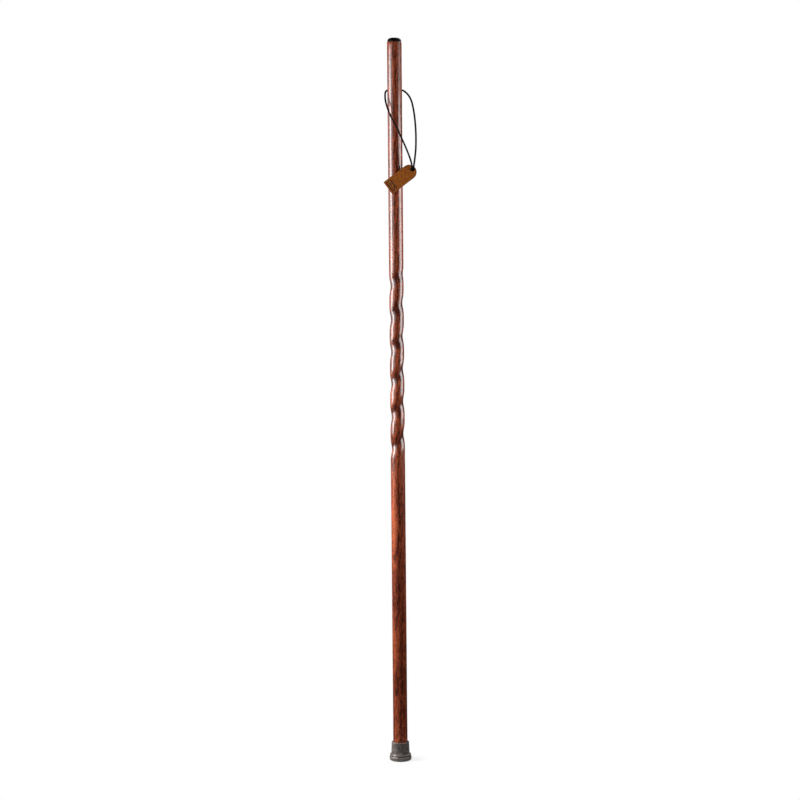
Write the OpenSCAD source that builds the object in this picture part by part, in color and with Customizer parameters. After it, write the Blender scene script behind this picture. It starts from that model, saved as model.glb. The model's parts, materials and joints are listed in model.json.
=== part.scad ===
// Wooden hiking staff with a carved twist, a cord lanyard with a leather tag, and a rubber tip.
// Millimetres. The origin is the middle of the tip's sole, and +Z runs up the shaft.
// The cord hole runs along X, and the tag lies on the -Y side.

/* [Staff] */
// Height from the ground to the top of the cap
staff_h = 1397; // [1300:1:1600]
// Diameter of the round shaft
shaft_d = 28; // [26:0.5:32]
// Chamfer at both ends of the shaft
shaft_chamfer = 0.8; // [0.3:0.1:1.4]

/* [Twist] */
// Height of the lower end of the carved groove above the ground
twist_z = 586; // [450:1:650]
// Length of the shaft that the groove covers
twist_len = 378; // [200:1:420]
// Rise of the groove in one turn
twist_pitch = 63; // [50:1:90]
// Depth of the groove
twist_depth = 2.8; // [1:0.1:3.6]
// Length over which the groove runs out at each end
twist_fade = 24; // [10:1:40]
// Side of the shaft where the groove starts, as an angle from +X
twist_start = 43; // [0:1:359]

/* [Top cap] */
// Height of the cap above the wood
cap_h = 8; // [7:0.5:12]
// Diameter of the cap
cap_d = 26.6; // [22:0.1:27.4]
// Rounding of the cap's upper edge
cap_round = 6.5; // [3:0.5:7]
// Diameter of the spigot that holds the cap in the shaft
cap_spigot_d = 10; // [6:0.5:14]
// Length of the spigot
cap_spigot_len = 14; // [8:1:25]
// Glue room between the spigot and its socket
glue_gap = 0.1; // [0.05:0.05:0.2]

/* [Rubber tip] */
// Height of the rubber tip
tip_h = 36; // [32:0.5:45]
// Diameter of the foot
foot_d = 43; // [40:0.5:50]
// Height of the crease round the foot
crease_z = 9; // [7:0.5:11]
// Diameter at the shoulder above the crease
shoulder_d = 41; // [39:0.5:42.5]
// Height where the shoulder meets the collar
shoulder_top_z = 15.5; // [14:0.5:18]
// Diameter of the collar at its lower end
collar_low_d = 35.8; // [34.4:0.1:37]
// Diameter of the collar at its rim
collar_top_d = 34; // [33:0.1:35.6]
// Thickness of rubber below the socket
sole_t = 7.5; // [5:0.5:9]
// Gap between the shaft and the socket's wall
socket_gap = 0.05; // [0.02:0.01:0.1]

/* [Tip washer] */
// Diameter of the steel washer in the socket
washer_d = 26; // [20:0.5:27]
// Diameter of the washer's hole
washer_hole_d = 9; // [5:0.5:14]
// Thickness of the washer
washer_t = 1.5; // [1:0.1:2.5]

/* [Lanyard] */
// Distance from the top of the cap down to the cord hole
hole_drop = 98.5; // [80:0.5:150]
// Diameter of the cord
cord_d = 3.2; // [2:0.1:3.6]
// Gap between the cord and its hole
cord_gap = 0.4; // [0.3:0.1:0.8]
// Depth of the eased edge at each mouth of the cord hole
hole_ease = 2; // [1:0.1:3]
// Diameter of the stopper knot
knot_d = 11; // [10:0.5:13]

/* [Leather tag] */
// Length of the tag
tag_len = 65; // [45:1:80]
// Width of the tag
tag_w = 28.4; // [20:0.1:34]
// Thickness of the leather
tag_t = 2.5; // [1.5:0.1:3]
// Rounding of the corners at the square end
tag_corner = 1.5; // [0.5:0.1:4]
// Distance from the round end to the middle of the cord's hole
tag_hole_edge = 5.8; // [5:0.1:9]
// Slope of the tag below level, square end down
tag_slope = 36.5; // [0:0.5:60]

/* [Hidden] */

// Facets of round faces
$fn = 96;
// How far a cut runs past the face that it opens
overrun = 1;

// Shaft
shaft_r = shaft_d / 2;
shaft_z = sole_t + washer_t;
shaft_top = staff_h - cap_h;
spigot_r = cap_spigot_d / 2;
glue_well = 1;
socket_depth = cap_spigot_len + glue_well;

// Carved stretch: sides of its rings, rise from ring to ring, how far the rings lie inside the round shaft,
// and how far they reach into it at both ends
twist_sides = 32;
twist_step = 6;
twist_skin = 0.03;
twist_lap = 4;
twist_top = twist_z + twist_len;
twist_rings = ceil(twist_len / twist_step);
// Sharpness of the groove: a larger power leaves a broader ridge between its turns
groove_power = 2;

// Rubber tip: roundings, crease, lead-in of the rim and tread of the sole
foot_r = foot_d / 2;
foot_round = 2.2;
foot_top_round = 2.6;
crease_depth = 1.6;
crease_lip = 1;
shoulder_r = shoulder_d / 2;
collar_low_r = collar_low_d / 2;
collar_top_r = collar_top_d / 2;
rim_round = 1.2;
rim_lead = 0.7;
socket_r = shaft_r + socket_gap;
arc_steps = 6;
tread_pitch = 5;
tread_count = 3;
tread_w = 1.6;
tread_depth = 1.2;

// Lanyard
hole_z = staff_h - hole_drop;
hole_r = cord_d / 2 + cord_gap;
cord_sides = 8;
mouth_x = shaft_r - hole_ease;
strand_gap = 0.2;
strand_shift = (cord_d + strand_gap) / 2;

// Tag: its hole takes both strands, and its back lies just clear of the shaft
tag_gap = 0.5;
tag_hole_gap = 0.3;
tag_hole_r = cord_d + strand_gap / 2 + tag_hole_gap;
tag_back_y = -shaft_r - tag_gap;
tag_x = 33;
tag_drop = 151;
tag_z = hole_z - tag_drop;

// Knot: its flat side faces the tag, and its middle lies behind that
knot_gap = 0.3;
knot_front_y = tag_back_y + knot_gap;
knot_set = 3.6;

// Route of the left leg: X and Y from the shaft's axis, Z from the cord hole
left_route = [
    [-mouth_x, 0, 0], [-15, -0.3, -0.7], [-17, -1.1, -2.6], [-18.1, -2.5, -6],
    [-18.4, -4.8, -11], [-18.1, -7.8, -16.8], [-17.1, -11.2, -23.2], [-15.4, -14.6, -30.2],
    [-13.1, -17.8, -37.4], [-10.3, -20.5, -44.8], [-7, -22.8, -52.4], [-3, -24.5, -60.4],
    [1.2, -25.5, -68.4], [5.2, -26, -76.4], [8.8, -26.2, -84.4], [12.4, -26.2, -92.4],
    [16, -26, -100.4], [19.5, -25.7, -108.4], [22.8, -25.3, -116.4], [25.9, -24.8, -124.4],
    [28.6, -24.3, -132.2], [30.6, -23.8, -139.2], [31.4, -23.4, -145],
    [tag_x - strand_shift, -22.6, -148], [tag_x - strand_shift, -20.4, -150.2],
    [tag_x - strand_shift, -17.4, -tag_drop], [tag_x - strand_shift, knot_front_y, -tag_drop],
];

// Route of the right leg, from the same places
right_route = [
    [mouth_x, 0, 0], [15.3, -0.1, -0.6], [18.5, -0.3, -2.3], [21.6, -0.7, -4.8],
    [24.7, -1.4, -8.1], [27.6, -2.4, -12.2], [30.2, -3.7, -17.2], [32.4, -5.3, -23.2],
    [34, -7.1, -30], [35.4, -9, -37.4], [36.6, -11, -45.2], [37.6, -13, -53.4],
    [38.4, -14.9, -61.8], [39, -16.6, -70.4], [39.4, -18, -79], [39.6, -19.2, -87.6],
    [39.6, -20.2, -96.2], [39.4, -21.2, -104.8], [39, -22.1, -113.4], [38.2, -22.8, -121.8],
    [37.2, -23.3, -130], [36.1, -23.6, -138], [35.1, -23.4, -145],
    [tag_x + strand_shift, -22.6, -148], [tag_x + strand_shift, -20.4, -150.2],
    [tag_x + strand_shift, -17.4, -tag_drop], [tag_x + strand_shift, knot_front_y, -tag_drop],
];

// Points of an arc in a profile, from one angle to another
function arc(middle, r, from, to) =
    [for (i = [0:arc_steps]) let (a = from + (to - from) * i / arc_steps) middle + r * [cos(a), sin(a)]];

// Faces that join rings of points into a closed tube; the rings turn anticlockwise seen from the far end
function tube_faces(rings, sides) = concat(
    [[for (j = [0:sides - 1]) j]],
    [for (i = [0:rings - 2], j = [0:sides - 1])
        let (a = i * sides + j, b = i * sides + (j + 1) % sides) [a, a + sides, b]],
    [for (i = [0:rings - 2], j = [0:sides - 1])
        let (a = i * sides + j, b = i * sides + (j + 1) % sides) [b, a + sides, b + sides]],
    [[for (j = [0:sides - 1]) rings * sides - 1 - j]]
);

// Share of the full depth that the groove has at a height: it runs out smoothly at both ends
function fade_share(z) =
    let (s = min(1, max(0, min(z - twist_z, twist_top - z) / twist_fade))) s * s * (3 - 2 * s);

// Radius of the carved stretch at a height and an angle
function twist_r(z, a) =
    let (groove = twist_start + 360 * (z - twist_z) / twist_pitch)
    shaft_r - twist_skin - twist_depth * fade_share(z) * pow((1 + cos(a - groove)) / 2, groove_power);

// Cord sweep: directions along a route, which starts square to its hole, and side vectors carried along it
// without twisting
function unit(v) = v / norm(v);
function headings(route, out) =
    [for (i = [0:len(route) - 1]) i == 0 ? out : unit(route[min(i + 1, len(route) - 1)] - route[i - 1])];
function carried(heads, side, i = 0) =
    i == len(heads) ? [] :
    let (s = unit(side - (side * heads[i]) * heads[i])) concat([s], carried(heads, s, i + 1));

// One round of rubber or metal, made by turning its profile
module turned(profile) {
    rotate_extrude() polygon(profile);
}

// Tube of cord along a route that leaves its hole in the direction out
module cord_tube(route, out) {
    heads = headings(route, out);
    sides = carried(heads, [0, 0, 1]);
    points = [for (i = [0:len(route) - 1], j = [0:cord_sides - 1])
        let (a = 360 * j / cord_sides)
        route[i] + cord_d / 2 * (cos(a) * sides[i] + sin(a) * cross(heads[i], sides[i]))];
    translate([0, 0, hole_z]) polyhedron(points, tube_faces(len(route), cord_sides));
}

// The carved stretch, which reaches a little way into the round shaft at both ends
module twist() {
    heights = concat(
        [twist_z - twist_lap],
        [for (i = [0:twist_rings]) twist_z + twist_len * i / twist_rings],
        [twist_top + twist_lap]
    );
    points = [for (z = heights, j = [0:twist_sides - 1])
        let (a = 360 * j / twist_sides, r = twist_r(z, a)) [r * cos(a), r * sin(a), z]];
    polyhedron(points, tube_faces(len(heights), twist_sides));
}

// A round stretch of the shaft, chamfered at its lower or its upper end
module round_stretch(z0, z1, low_chamfer, top_chamfer) {
    turned([
        [0, z0], [shaft_r - low_chamfer, z0], [shaft_r, z0 + low_chamfer],
        [shaft_r, z1 - top_chamfer], [shaft_r - top_chamfer, z1], [0, z1],
    ]);
}

// Hole through the shaft for the cord, with eased mouths
module cord_hole() {
    reach = shaft_r + overrun;
    flare_r = hole_r + hole_ease + overrun;
    translate([0, 0, hole_z]) rotate([0, 90, 0]) turned([
        [0, -reach], [flare_r, -reach], [hole_r, -mouth_x],
        [hole_r, mouth_x], [flare_r, reach], [0, reach],
    ]);
}

module shaft() {
    color("#6e3420") difference() {
        union() {
            round_stretch(shaft_z, twist_z, shaft_chamfer, 0);
            twist();
            round_stretch(twist_top, shaft_top, 0, shaft_chamfer);
        }
        cord_hole();
        translate([0, 0, shaft_top - socket_depth])
            cylinder(r = spigot_r + glue_gap, h = socket_depth + overrun);
    }
}

module top_cap() {
    cap_r = cap_d / 2;
    color("#141211") turned(concat(
        [[0, shaft_top - cap_spigot_len], [spigot_r, shaft_top - cap_spigot_len]],
        [[spigot_r, shaft_top], [cap_r, shaft_top]],
        arc([cap_r - cap_round, staff_h - cap_round], cap_round, 0, 90),
        [[0, staff_h]]
    ));
}

module rubber_tip() {
    color("#5a504e") difference() {
        turned(concat(
            [[0, 0]],
            arc([foot_r - foot_round, foot_round], foot_round, -90, 0),
            arc([foot_r - foot_top_round, crease_z - foot_top_round], foot_top_round, 0, 60),
            [[shoulder_r - crease_depth, crease_z]],
            [[shoulder_r, crease_z + crease_lip]],
            arc([collar_low_r, crease_z + crease_lip], shoulder_r - collar_low_r, 0, 75),
            [[collar_low_r, shoulder_top_z]],
            arc([collar_top_r - rim_round, tip_h - rim_round], rim_round, 0, 90),
            [[socket_r + rim_lead, tip_h], [socket_r, tip_h - rim_lead]],
            [[socket_r, sole_t], [0, sole_t]]
        ));
        for (i = [1:tread_count]) tread_groove(i * tread_pitch);
    }
}

// One ring of the sole's tread
module tread_groove(r) {
    translate([0, 0, -overrun]) difference() {
        cylinder(r = r + tread_w / 2, h = tread_depth + overrun);
        translate([0, 0, -overrun]) cylinder(r = r - tread_w / 2, h = tread_depth + 3 * overrun);
    }
}

module tip_washer() {
    color("#b8b8b4") translate([0, 0, sole_t]) difference() {
        cylinder(d = washer_d, h = washer_t);
        translate([0, 0, -overrun]) cylinder(d = washer_hole_d, h = washer_t + 2 * overrun);
    }
}

module cord_in_hole() {
    color("#0a0a0a") translate([0, 0, hole_z]) rotate([0, 90, 0])
        cylinder(d = cord_d, h = 2 * mouth_x, center = true);
}

module cord_left_leg() {
    color("#0a0a0a") cord_tube(left_route, [-1, 0, 0]);
}

module cord_right_leg() {
    color("#0a0a0a") cord_tube(right_route, [1, 0, 0]);
}

module cord_knot() {
    knot_r = knot_d / 2;
    color("#0a0a0a") translate([tag_x, knot_front_y, tag_z]) rotate([-90, 0, 0])
        turned(concat([[0, 0]], arc([0, knot_set], knot_r, -asin(knot_set / knot_r), 90)));
}

// Outline of the tag, with the middle of the cord's hole at zero and the square end towards -X
module tag_outline() {
    tag_r = tag_w / 2;
    back_x = tag_hole_edge - tag_len;
    round_x = tag_hole_edge - tag_r;
    translate([round_x, 0]) circle(tag_r);
    translate([back_x + tag_corner, -tag_r]) square([round_x - back_x - tag_corner, tag_w]);
    translate([back_x, tag_corner - tag_r]) square([2 * tag_corner, tag_w - 2 * tag_corner]);
    for (side = [-1, 1]) translate([back_x + tag_corner, side * (tag_r - tag_corner)]) circle(tag_corner);
}

module leather_tag() {
    color("#8a5220") translate([tag_x, tag_back_y, tag_z]) rotate([0, -tag_slope, 0]) rotate([90, 0, 0])
        linear_extrude(tag_t) difference() {
            tag_outline();
            circle(tag_hole_r);
        }
}

shaft();
top_cap();
rubber_tip();
tip_washer();
cord_in_hole();
cord_left_leg();
cord_right_leg();
cord_knot();
leather_tag();
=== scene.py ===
"""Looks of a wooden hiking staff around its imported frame: shaft, cap, tip, lanyard, tag and studio."""

import json
import logging
import math
from collections.abc import Callable, Iterator
from contextlib import contextmanager
from dataclasses import dataclass
from enum import Enum
from typing import Any

import bmesh
import bpy
import numpy as np
from mathutils import Matrix, Vector


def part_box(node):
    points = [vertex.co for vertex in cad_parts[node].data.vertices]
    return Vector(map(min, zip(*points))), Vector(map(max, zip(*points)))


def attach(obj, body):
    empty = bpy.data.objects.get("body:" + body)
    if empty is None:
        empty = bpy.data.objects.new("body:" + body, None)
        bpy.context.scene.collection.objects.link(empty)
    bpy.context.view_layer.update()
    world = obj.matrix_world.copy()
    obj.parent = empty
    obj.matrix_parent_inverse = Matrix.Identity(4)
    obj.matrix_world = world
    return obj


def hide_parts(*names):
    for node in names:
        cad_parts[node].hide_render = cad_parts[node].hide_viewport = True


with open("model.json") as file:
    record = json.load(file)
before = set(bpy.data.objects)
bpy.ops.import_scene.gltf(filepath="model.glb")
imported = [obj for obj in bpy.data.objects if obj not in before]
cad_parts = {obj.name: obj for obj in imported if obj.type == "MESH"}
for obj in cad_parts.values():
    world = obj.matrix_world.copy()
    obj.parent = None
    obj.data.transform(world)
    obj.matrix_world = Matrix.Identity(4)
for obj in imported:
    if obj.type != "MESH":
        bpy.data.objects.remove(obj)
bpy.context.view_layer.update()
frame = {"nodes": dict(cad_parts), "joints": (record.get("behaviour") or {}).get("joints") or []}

Object = bpy.types.Object
Material = bpy.types.Material
NodeTree = bpy.types.NodeTree
Point = tuple[float, float, float]
Profile = list[tuple[float, float]]
# Says of a mesh element, by its middle and its direction, whether it is wanted
Test = Callable[[Vector, Vector], bool]

MM = 0.001
# Vertices nearer than this are one
MERGE = 0.002 * MM
# A direction is upright when more than this share of it lies along Z
UPRIGHT = 0.9
# Sockets of a Mix node that mixes colours
MIX_A = 6
MIX_B = 7
MIX_OUT = 2
# Attribute of the cord's mesh that holds the height of its plaits
BRAID = "braid"

log = logging.getLogger("hiking_staff")


class Pick(Enum):
    """Kinds of mesh element that a modelling step selects."""

    VERTS = "VERT"
    EDGES = "EDGE"
    FACES = "FACE"


class Side(Enum):
    """Sides of the staff as the camera sees it; the value is the sign of X there."""

    LEFT = -1
    RIGHT = 1


class LeatherSide(Enum):
    """Surfaces of the tag; the value is the number of the slot that holds their material."""

    GRAIN = 0
    FLESH = 1
    BURNISHED = 2


def joint_place(name: str) -> Vector:
    """Finds where a hinge of the frame turns.

    Args:
        name: The joint's name in the record.
    Returns:
        A point on the hinge's axis, in metres.
    """
    return Vector(next(joint["pos_m"] for joint in frame["joints"] if joint["name"] == name))


def smooth_step(share: float) -> float:
    """Eases a share from 0 to 1, with level ends."""
    share = min(1.0, max(0.0, share))
    return share * share * (3 - 2 * share)


def arc(middle: tuple[float, float], radius: float, start: float, end: float, steps: int = 8) -> Profile:
    """Lays points along an arc of a profile.

    Args:
        middle: Radius and height of the arc's centre.
        radius: The arc's own radius.
        start: Angle of the first point, in degrees.
        end: Angle of the last point, in degrees.
        steps: How many pieces the arc is divided into.
    Returns:
        The points, as pairs of radius and height.
    """
    angles = [math.radians(start + (end - start) * i / steps) for i in range(steps + 1)]
    return [(middle[0] + radius * math.cos(a), middle[1] + radius * math.sin(a)) for a in angles]


def start_from(primitive: Callable[..., set[str]], name: str, **settings: Any) -> Object:
    """Adds one primitive with nothing else selected, names it and puts its place into its mesh.

    Args:
        primitive: The operator that adds it.
        name: Name of the new object.
        settings: The operator's own settings.
    Returns:
        The new object, which is the active one.
    """
    bpy.ops.object.select_all(action="DESELECT")
    primitive(**settings)
    obj = bpy.context.active_object
    obj.name = obj.data.name = name
    bpy.ops.object.transform_apply(location=True, rotation=True, scale=True)
    return obj


def activate(obj: Object) -> None:
    """Makes an object the active one and the only one selected.

    Args:
        obj: The object.
    """
    bpy.ops.object.select_all(action="DESELECT")
    obj.select_set(True)
    bpy.context.view_layer.objects.active = obj


@contextmanager
def editing(obj: Object) -> Iterator[None]:
    """Holds an object in edit mode, with all its vertices selected and nothing else.

    Args:
        obj: The mesh object.
    Returns:
        A context that leaves edit mode at its end.
    """
    activate(obj)
    bpy.ops.object.mode_set(mode="EDIT")
    bpy.ops.mesh.select_mode(type=Pick.VERTS.value)
    bpy.ops.mesh.select_all(action="SELECT")
    yield
    bpy.ops.object.mode_set(mode="OBJECT")


def select(kind: Pick, test: Test) -> None:
    """Selects elements of the mesh in edit mode by their place and direction.

    Args:
        kind: Which elements are looked at; all others are deselected.
        test: Says by its middle and its direction whether an element is selected. The direction is the
            normal of a face or vertex and the line of an edge.
    """
    bpy.ops.mesh.select_mode(type=kind.value)
    bpy.ops.mesh.select_all(action="DESELECT")
    mesh = bmesh.from_edit_mesh(bpy.context.edit_object.data)
    mesh.normal_update()
    if kind is Pick.VERTS:
        found = [(v, v.co, v.normal) for v in mesh.verts]
    elif kind is Pick.EDGES:
        ends = [(e, e.verts[0].co, e.verts[1].co) for e in mesh.edges]
        found = [(e, (a + b) / 2, (b - a).normalized()) for e, a, b in ends]
    else:
        found = [(f, f.calc_center_median(), f.normal) for f in mesh.faces]
    for element in [element for element, place, way in found if test(place, way)]:
        element.select_set(True)
    mesh.select_flush_mode()
    bmesh.update_edit_mesh(bpy.context.edit_object.data)


def face_outwards() -> None:
    """Turns all faces of the mesh in edit mode outwards."""
    bpy.ops.mesh.select_all(action="SELECT")
    bpy.ops.mesh.normals_make_consistent(inside=False)


def turned(name: str, profile: Profile, steps: int) -> Object:
    """Turns a profile about the Z axis, as on a lathe.

    Args:
        name: Name of the new object.
        profile: Pairs of radius and height; it starts and ends on the axis.
        steps: Faces round the axis.
    Returns:
        The closed, turned object.
    """
    radius, height = profile[0]
    obj = start_from(bpy.ops.mesh.primitive_plane_add, name, size=MM, location=(radius, 0, height))
    with editing(obj):
        bpy.ops.mesh.merge(type="CENTER")
        for (r0, z0), (r1, z1) in zip(profile, profile[1:]):
            bpy.ops.mesh.extrude_vertices_move(TRANSFORM_OT_translate={"value": (r1 - r0, 0, z1 - z0)})
        bpy.ops.mesh.select_all(action="SELECT")
        bpy.ops.mesh.spin(steps=steps, angle=math.tau, center=(0, 0, 0), axis=(0, 0, 1))
        bpy.ops.mesh.select_all(action="SELECT")
        bpy.ops.mesh.remove_doubles(threshold=MERGE)
        face_outwards()
    return obj


def joined(pieces: list[Object]) -> Object:
    """Joins pieces into one.

    Args:
        pieces: The mesh objects; all but the first are used up.
    Returns:
        The first of them, which then holds them all.
    """
    activate(pieces[0])
    for piece in pieces:
        piece.select_set(True)
    bpy.ops.object.join()
    return pieces[0]


def weigh(obj: Object, name: str, share: Callable[[Vector], float]) -> str:
    """Gives an object a vertex group.

    Args:
        obj: The mesh object.
        name: Name of the group.
        share: The weight at a place.
    Returns:
        The group's name, for a modifier.
    """
    group = obj.vertex_groups.new(name=name)
    for vertex in obj.data.vertices:
        weight = share(vertex.co)
        if weight > 0:
            group.add([vertex.index], weight, "REPLACE")
    return name


def modify(obj: Object, kind: str, **settings: Any) -> None:
    """Adds one modifier to an object and applies it.

    Args:
        obj: The object.
        kind: Type name of the modifier.
        settings: The modifier's properties.
    """
    modifier = obj.modifiers.new(kind.lower(), kind)
    for name, value in settings.items():
        setattr(modifier, name, value)
    activate(obj)
    bpy.ops.object.modifier_apply(modifier=modifier.name)


def cut(obj: Object, cutter: Object) -> None:
    """Cuts one object with another, which is used up."""
    modify(obj, "BOOLEAN", object=cutter, operation="DIFFERENCE", solver="EXACT")
    bpy.data.objects.remove(cutter)


def place_at(obj: Object, matrix: Matrix) -> None:
    """Moves an object and puts its new place into its mesh.

    Args:
        obj: The object, which is at the origin.
        matrix: Where it goes.
    """
    activate(obj)
    obj.matrix_world = matrix
    bpy.ops.object.transform_apply(location=True, rotation=True, scale=True)


def smooth(obj: Object, angle: float) -> None:
    """Shades an object smooth where its faces meet at less than an angle in degrees."""
    activate(obj)
    bpy.ops.object.shade_smooth_by_angle(angle=math.radians(angle))


def dress(obj: Object, *materials: Material) -> None:
    """Gives an object its materials.

    Args:
        obj: The mesh object.
        materials: The materials, in the order of their slots.
    """
    obj.data.materials.clear()
    for material in materials:
        obj.data.materials.append(material)


def hand_over(obj: Object, body: str, slot: str, *nodes: str) -> None:
    """Ties a finished piece to the frame.

    Args:
        obj: The piece.
        body: The body that it moves with.
        slot: The record's material slot of the piece; not used.
        nodes: The nodes that it stands for.
    """
    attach(obj, body)
    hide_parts(*nodes)
    log.info("%s: %d faces, rides on %s for %s", obj.name, len(obj.data.polygons), body, ", ".join(nodes))


def linear(code: str) -> tuple[float, float, float, float]:
    """Turns an sRGB colour into a linear one.

    Args:
        code: Its hex code, such as #6B301B.
    Returns:
        Linear red, green, blue and alpha.
    """
    parts = [int(code[i:i + 2], 16) / 255 for i in (1, 3, 5)]
    red, green, blue = [p / 12.92 if p <= 0.04045 else ((p + 0.055) / 1.055) ** 2.4 for p in parts]
    return red, green, blue, 1.0


def repeats(size: Point) -> Point:
    """Turns the real sizes of a pattern along X, Y and Z, in metres, into its repeats per metre."""
    return 1 / size[0], 1 / size[1], 1 / size[2]


def add(tree: NodeTree, kind: str, inputs: dict[str | int, Any] | None = None,
        **settings: Any) -> bpy.types.NodeOutputs:
    """Adds one shader node with its settings and links.

    Args:
        tree: The node tree.
        kind: Type name of the node, without ShaderNode.
        inputs: For each input, by name or number, a value or the output socket that feeds it.
        settings: Properties of the node itself.
    Returns:
        The new node's output sockets.
    """
    node = tree.nodes.new("ShaderNode" + kind)
    for name, value in settings.items():
        setattr(node, name, value)
    for key, value in (inputs or {}).items():
        if isinstance(value, bpy.types.NodeSocket):
            tree.links.new(value, node.inputs[key])
        else:
            node.inputs[key].default_value = value
    return node.outputs


def blank_material(name: str) -> tuple[Material, NodeTree]:
    """Makes a material with an empty node tree.

    Args:
        name: Name of the material.
    Returns:
        The material and its tree.
    """
    material = bpy.data.materials.new(name)
    material.use_nodes = True
    material.node_tree.nodes.clear()
    return material, material.node_tree


@dataclass(frozen=True)
class StainedOak:
    """Oak, turned, stained red-brown and lacquered.

    The eye sees long dark pores along the growth rings, a mottled take-up of the stain, and a clear glossy
    coat over all of it. Patterns have their sizes along X, Y and Z.
    """

    name: str = "stained_oak_lacquered"
    pore_colour: str = "#1C0703"
    dark_colour: str = "#45170D"
    light_colour: str = "#A95232"
    # Middle of the tree, seen from the stick's foot, and the turn of the stick in the trunk in degrees
    pith: Point = (30 * MM, 64 * MM, 0.0)
    lean: tuple[float, float] = (0.6, -1.5)
    ring_width: float = 4.2 * MM
    # The share of a ring's width over which early wood fades out, and how much darker early wood is
    early_share: float = 0.7
    early_shade: float = 0.2
    # How far the grain wanders, and over what size
    wander: float = 13 * MM
    wander_size: Point = (34 * MM, 34 * MM, 110 * MM)
    # Real pores are 0.3 mm wide; they are drawn coarser so that they show at arm's length
    pore_size: Point = (1.7 * MM, 1.7 * MM, 4.6 * MM)
    # Levels of noise at which a pore opens and is full, and what is left of pores in late wood
    pore_from: float = 0.47
    pore_to: float = 0.62
    late_pores: float = 0.55
    pore_ink: float = 0.9
    pore_depth: float = 0.1 * MM
    pore_strength: float = 0.35
    mottle_size: Point = (2.6 * MM, 2.6 * MM, 13 * MM)
    cloud_size: Point = (22 * MM, 22 * MM, 120 * MM)
    cloud_share: float = 0.5
    # Below this level of tone the wood has its dark colour
    tone_from: float = 0.46
    # Carved and sawn wood is darker, partly from more stain soaked in and partly painted shade in the
    # groove:
    # from this radius of the stick, in full at the deeper one, where it is this much darker
    skin_radius: float = 13.7 * MM
    deep_radius: float = 11.4 * MM
    deep_stain_and_shade: float = 0.22
    # A flame of pale summer wood, where the rings lie flat to the surface: its middle, its reach, the share
    # of its reach that is at its palest, and how pale that is
    flame_place: Point = (-11 * MM, -9 * MM, 475 * MM)
    flame_reach: Point = (13 * MM, 13 * MM, 100 * MM)
    flame_core: float = 0.2
    flame_tone: float = 0.27
    roughness: float = 0.36
    pore_roughness: float = 0.55
    specular: float = 0.12
    coat_roughness: float = 0.18
    coat_ior: float = 1.5

    def material(self) -> Material:
        """Builds the wood as a solid texture, so that end grain and carving cut through the same rings.

        Returns:
            The material.
        """
        material, tree = blank_material(self.name)
        place = add(tree, "TexCoord")["Object"]
        drift_place = add(tree, "Mapping", {"Vector": place, "Scale": repeats(self.wander_size)})[0]
        drift = add(tree, "TexNoise", {"Vector": drift_place, "Scale": 1.0, "Detail": 3.0})["Color"]
        centred = add(tree, "VectorMath", {0: drift, 1: (0.5, 0.5, 0.5)}, operation="SUBTRACT")[0]
        shift = add(tree, "VectorMath", {0: centred, "Scale": self.wander}, operation="SCALE")[0]
        turn = [math.radians(angle) for angle in (*self.lean, 0)]
        felled = add(tree, "Mapping", {"Vector": place, "Rotation": turn})[0]
        grain = add(tree, "VectorMath", {0: felled, 1: shift}, operation="ADD")[0]

        from_pith = add(tree, "VectorMath", {0: grain, 1: self.pith}, operation="SUBTRACT")[0]
        flat = add(tree, "VectorMath", {0: from_pith, 1: (1, 1, 0)}, operation="MULTIPLY")[0]
        radius = add(tree, "VectorMath", {0: flat}, operation="LENGTH")["Value"]
        years = add(tree, "Math", {0: radius, 1: self.ring_width}, operation="DIVIDE")[0]
        season = add(tree, "Math", {0: years}, operation="FRACT")[0]
        early = add(tree, "MapRange", {"Value": season, "From Max": self.early_share, "To Min": 1.0,
                                       "To Max": 0.0}, interpolation_type="SMOOTHSTEP")[0]

        pore_place = add(tree, "Mapping", {"Vector": grain, "Scale": repeats(self.pore_size)})[0]
        pore_noise = add(tree, "TexNoise", {"Vector": pore_place, "Scale": 1.0, "Detail": 2.0})[0]
        open_pore = add(tree, "MapRange", {"Value": pore_noise, "From Min": self.pore_from,
                                           "From Max": self.pore_to})[0]
        crowd = add(tree, "MapRange", {"Value": early, "To Min": self.late_pores})[0]
        pores = add(tree, "Math", {0: open_pore, 1: crowd}, operation="MULTIPLY")[0]

        mottle_place = add(tree, "Mapping", {"Vector": grain, "Scale": repeats(self.mottle_size)})[0]
        mottle = add(tree, "TexNoise", {"Vector": mottle_place, "Scale": 1.0, "Detail": 3.0})[0]
        cloud_place = add(tree, "Mapping", {"Vector": place, "Scale": repeats(self.cloud_size)})[0]
        cloud = add(tree, "TexNoise", {"Vector": cloud_place, "Scale": 1.0, "Detail": 2.0})[0]
        uptake = add(tree, "Math", {0: cloud, 1: self.cloud_share, 2: mottle}, operation="MULTIPLY_ADD")[0]
        banded = add(tree, "Math", {0: early, 1: -self.early_shade, 2: uptake}, operation="MULTIPLY_ADD")[0]
        off = add(tree, "VectorMath", {0: place, 1: self.flame_place}, operation="SUBTRACT")[0]
        parted = add(tree, "VectorMath", {0: off, 1: self.flame_reach}, operation="DIVIDE")[0]
        far = add(tree, "VectorMath", {0: parted}, operation="LENGTH")["Value"]
        flame = add(tree, "MapRange", {"Value": far, "From Min": self.flame_core, "To Min": self.flame_tone,
                                       "To Max": 0.0}, interpolation_type="SMOOTHSTEP")[0]
        lit = add(tree, "Math", {0: banded, 1: flame}, operation="ADD")[0]
        across = add(tree, "VectorMath", {0: place, 1: (1, 1, 0)}, operation="MULTIPLY")[0]
        inside = add(tree, "VectorMath", {0: across}, operation="LENGTH")["Value"]
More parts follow.
